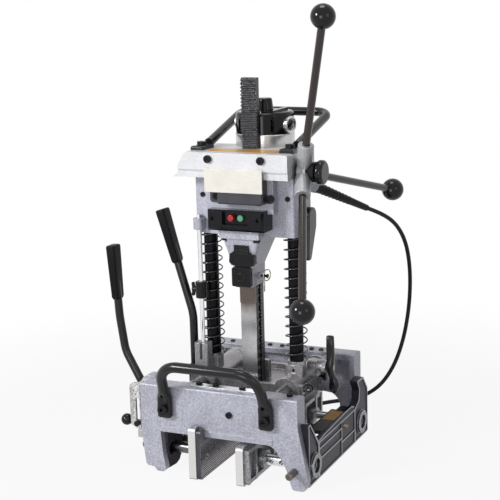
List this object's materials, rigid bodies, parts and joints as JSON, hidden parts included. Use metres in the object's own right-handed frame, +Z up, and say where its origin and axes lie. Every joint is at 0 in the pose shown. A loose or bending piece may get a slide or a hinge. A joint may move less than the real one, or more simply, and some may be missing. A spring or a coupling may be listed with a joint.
{
  "type": "portable chain mortiser",
  "caption": "Portable chain mortiser: clamps over a timber with a rack-driven jaw, slides on rails and plunges a chain cutter by a three-spoke feed handle.",
  "frame": {"origin": "on the plane of the feet, straight below the chain's axis and midway between the front and rear walls", "axes": "+X to the operator's right, +Y to the back, +Z up"},
  "size_m": [0.4004, 0.5189, 0.7055],
  "materials": {
    "hammered_paint": "hammered silver-grey paint",
    "hood_paint": "silver-grey paint, semi-gloss",
    "hub_paint": "hammered silver-grey paint",
    "slide_casting": "cast, bright machined faces",
    "jaw_casting": "painted casting with machined edges",
    "panel_black": "dark paint with bright machined edges",
    "machined_steel": "turned",
    "ground_steel": "ground",
    "black_enamel": "black gloss enamel",
    "black_oxide": "black oxide",
    "bright_strip": "satin",
    "zinc_plate": "zinc plated",
    "black_plastic": "polished",
    "serrated_steel": "serrated",
    "grip_rubber": "matt",
    "black_steel": "blackened, polished",
    "phosphated_steel": "phosphated",
    "chrome_rod": "polished",
    "spring_steel": "drawn wire",
    "spring_black": "black drawn wire",
    "grey_cover": "dark grey textured paint",
    "blank_plate": "satin, blank",
    "black_gloss": "glossy moulding",
    "red_button": "glossy",
    "green_button": "glossy",
    "motor_shell": "turned",
    "brush_ring": "turned ring",
    "black_cover": "black textured paint",
    "bar_steel": "ground",
    "chain_steel": "blackened, bright cutters",
    "guard_steel": "bright, heat-tinted at the top",
    "bush_bronze": "bearing bronze",
    "spoke_brown": "brown-black lacquer",
    "cord_rubber": "matt"
  },
  "bodies": {
    "base": {"front_wall": "hammered_paint", "rear_wall": "hammered_paint", "right_side_wall": "panel_black", "left_side_wall": "hammered_paint", "rod_bushes": "machined_steel", "guide_rails": "ground_steel", "front_handle": "black_enamel", "base_screws": "black_oxide", "wear_strip": "bright_strip", "guide_plate": "zinc_plate"},
    "latch": {"release_knob": "black_plastic"},
    "left_jaw": {"left_jaw": "jaw_casting", "grip_plate": "serrated_steel", "left_jaw_rods": "ground_steel", "jaw_rack": "machined_steel"},
    "right_jaw": {"right_jaw": "jaw_casting", "right_jaw_rods": "ground_steel"},
    "index_pin": {"index_pin": "machined_steel"},
    "clamp": {"clamp_lever": "black_enamel", "clamp_grip": "grip_rubber"},
    "traverse": {"traverse_lever": "black_enamel", "traverse_grip": "grip_rubber"},
    "carriage": {"carriage": "slide_casting", "posts": "black_steel", "rack": "phosphated_steel", "depth_pole": "chrome_rod", "lock_spring": "spring_steel", "cord": "cord_rubber", "cord_coil": "cord_rubber", "cord_plug": "cord_rubber"},
    "depth_stop": {"depth_stop": "black_oxide"},
    "wing_screw": {"wing_screw": "black_oxide"},
    "lock_lever": {"lock_lever": "black_enamel"},
    "head": {"head_casting": "hammered_paint", "hood": "hood_paint", "gearbox_cover": "grey_cover", "name_plate": "blank_plate", "switch_box": "black_gloss", "motor_housing": "motor_shell", "motor_cap": "black_gloss", "brush_caps": "brush_ring", "top_handle": "black_enamel", "head_screws": "black_oxide", "neck": "hammered_paint", "chain_covers": "black_cover", "guide_bar": "bar_steel", "mortise_chain": "chain_steel", "chain_guard": "guard_steel", "post_bushes": "bush_bronze", "return_springs": "spring_black", "cord_guard": "cord_rubber"},
    "stop_button": {"stop_button": "red_button"},
    "start_button": {"start_button": "green_button"},
    "spindle": {"motor_spindle": "machined_steel"},
    "sprocket": {"sprocket": "machined_steel"},
    "head_lock": {"head_lock": "black_enamel"},
    "feed": {"feed_hub": "hub_paint", "feed_spokes": "spoke_brown", "feed_knobs": "black_plastic", "feed_pinion": "machined_steel"}
  },
  "joints": [
    {"name": "left_jaw_slide", "type": "slide", "parent": "base", "child": "left_jaw", "axis": [1, 0, 0], "range_m": [-0.006, 0.025]},
    {"name": "right_jaw_slide", "type": "slide", "parent": "base", "child": "right_jaw", "axis": [1, 0, 0], "range_m": [0, 0.0326]},
    {"name": "index_pin_slide", "type": "slide", "parent": "base", "child": "index_pin", "axis": [0, 1, 0], "range_m": [0, 0.008]},
    {"name": "clamp_lever_turn", "type": "hinge", "parent": "base", "child": "clamp", "pos_m": [-0.139, -0.079, 0.062], "axis": [0, 1, 0], "range_deg": [-60.5, 15.5]},
    {"name": "latch_slide", "type": "slide", "parent": "base", "child": "latch", "axis": [0, 0, 1], "range_m": [0, 0.037]},
    {"name": "carriage_slide", "type": "slide", "parent": "base", "child": "carriage", "axis": [0, 1, 0], "range_m": [-0.025, 0.025]},
    {"name": "traverse_lever_turn", "type": "hinge", "parent": "base", "child": "traverse", "pos_m": [-0.099, -0.033, 0.04], "axis": [1, 0, 0], "range_deg": [-16.9, 16.9]},
    {"name": "head_slide", "type": "slide", "parent": "carriage", "child": "head", "axis": [0, 0, 1], "range_m": [-0.082, 0], "stiffness_N_per_m": 1600, "springref_m": 0.1, "deforming": ["return_springs", "cord"]},
    {"name": "feed_turn", "type": "hinge", "parent": "head", "child": "feed", "pos_m": [0.094, -0.0395, 0.4605], "axis": [1, 0, 0], "range_deg": [-1, 245]},
    {"name": "depth_stop_slide", "type": "slide", "parent": "carriage", "child": "depth_stop", "axis": [0, 0, 1], "range_m": [-0.07, 0.074]},
    {"name": "wing_screw_turn", "type": "hinge", "parent": "depth_stop", "child": "wing_screw", "pos_m": [-0.0848, -0.051, 0.2715], "axis": [1, 0, 0], "range_deg": [-90, 180]},
    {"name": "lock_lever_turn", "type": "hinge", "parent": "carriage", "child": "lock_lever", "pos_m": [0.1055, 0.01, 0.147], "axis": [1, 0, 0], "range_deg": [-20, 0], "stiffness_Nm_per_rad": 1.5, "springref_deg": 14.32},
    {"name": "head_lock_turn", "type": "hinge", "parent": "head", "child": "head_lock", "pos_m": [0.089, -0.014, 0.39], "axis": [1, 0, 0], "range_deg": [-40, 30]},
    {"name": "motor_turn", "type": "hinge", "parent": "head", "child": "spindle", "pos_m": [0, 0.0395, 0.5], "axis": [0, 0, 1], "continuous": true},
    {"name": "sprocket_turn", "type": "hinge", "parent": "head", "child": "sprocket", "pos_m": [0, -0.0315, 0.298], "axis": [0, 1, 0], "continuous": true},
    {"name": "stop_button_press", "type": "slide", "parent": "head", "child": "stop_button", "axis": [0, 1, 0], "range_m": [0, 0.003], "stiffness_N_per_m": 400, "springref_m": -0.002},
    {"name": "start_button_press", "type": "slide", "parent": "head", "child": "start_button", "axis": [0, 1, 0], "range_m": [0, 0.003], "stiffness_N_per_m": 400, "springref_m": -0.002}
  ],
  "couplings": [
    {"joint": "clamp_lever_turn", "follows": "left_jaw_slide", "rad_per_m": -41.667},
    {"joint": "traverse_lever_turn", "follows": "carriage_slide", "rad_per_m": -11.628},
    {"joint": "feed_turn", "follows": "head_slide", "rad_per_m": -51.948},
    {"joint": "sprocket_turn", "follows": "motor_turn", "ratio": 0.5}
  ]
}
